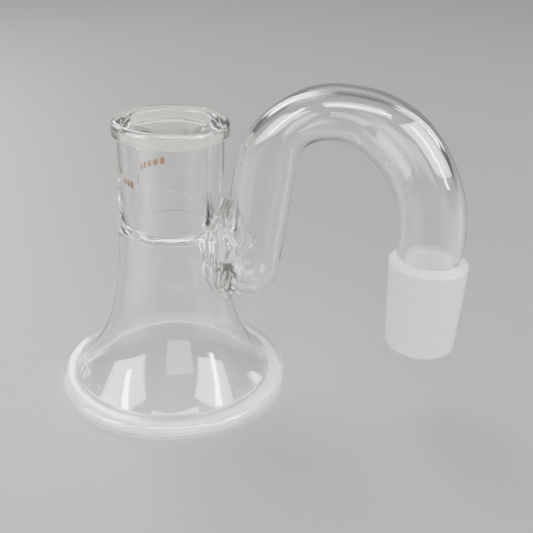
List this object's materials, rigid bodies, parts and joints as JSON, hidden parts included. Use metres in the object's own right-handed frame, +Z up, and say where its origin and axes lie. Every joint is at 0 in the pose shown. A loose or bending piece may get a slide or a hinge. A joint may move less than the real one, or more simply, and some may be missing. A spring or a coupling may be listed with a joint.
{
  "type": "glass gooseneck trap",
  "caption": "Clear glass trap: flared chamber with a flat base and tapered socket neck, joined through a side port to a gooseneck tube ending in a ground cone.",
  "frame": {"origin": "centre of the chamber's flat underside, on the chamber's own axis", "axes": "+Z up along the chamber's axis and out of the neck socket, +X towards the gooseneck and the ground cone, which lie in the XZ plane"},
  "size_m": [0.1025, 0.059, 0.0819],
  "materials": {
    "clear_glass": "clear fire-polished borosilicate glass",
    "lip_glass": "thick fire-polished borosilicate glass",
    "weld_glass": "wrinkled flame-worked glass",
    "ground_glass": "frosted by grinding",
    "amber_enamel": "fired amber stain"
  },
  "bodies": {
    "root": {"base_plate": "clear_glass", "foot_ring": "clear_glass", "bell_wall": "clear_glass", "socket_seal": "clear_glass", "socket_tube": "clear_glass", "rolled_lip": "lip_glass", "port_bridge": "weld_glass", "weld_bead": "weld_glass", "gooseneck_round_end": "clear_glass", "gooseneck_riser": "clear_glass", "gooseneck_tight_bend": "clear_glass", "gooseneck_crown": "clear_glass", "gooseneck_wide_bend": "clear_glass", "gooseneck_drop_leg": "clear_glass", "joint_shoulder": "ground_glass", "ground_cone": "ground_glass", "fired_mark": "amber_enamel"}
  },
  "joints": []
}
